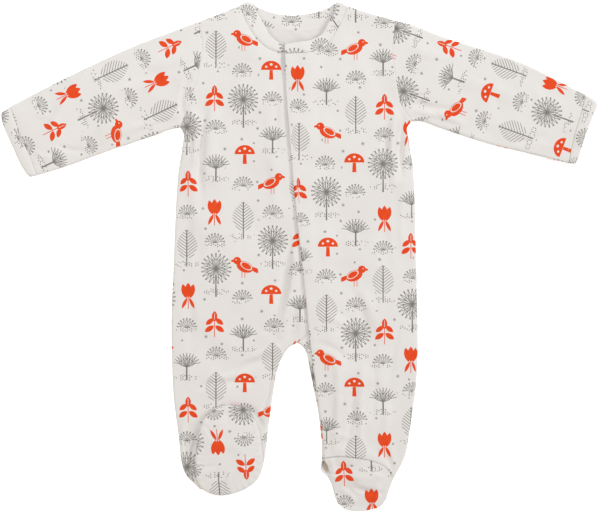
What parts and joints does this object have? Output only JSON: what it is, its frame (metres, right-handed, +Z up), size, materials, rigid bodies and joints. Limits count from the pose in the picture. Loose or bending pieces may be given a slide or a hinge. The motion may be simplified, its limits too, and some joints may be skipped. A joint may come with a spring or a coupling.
{
  "type": "footed baby sleepsuit",
  "caption": "Long-sleeved footed baby sleepsuit in pale printed jersey, laid flat, with a slanting front closure, bound neck and cuffs, and one foot folded up to show its sole.",
  "frame": {"origin": "centre of the bounding box on the surface that the back rests on", "axes": "+X across the garment to the wearer's left, +Y from the feet to the neck, +Z up out of the front"},
  "size_m": [0.633, 0.5408, 0.013],
  "materials": {
    "jersey": "matt",
    "band": "matt"
  },
  "bodies": {
    "root": {"back": "jersey", "front_right": "jersey", "front_left": "jersey", "leg_underlap": "jersey", "sleeve_right": "jersey", "sleeve_left": "jersey", "cuff_right": "band", "cuff_left": "band", "neckband_right": "band", "neckband_left": "band", "neckband_back": "band", "foot_right": "jersey", "sole_right": "jersey", "foot_left": "jersey", "sole_left": "jersey"}
  },
  "joints": []
}
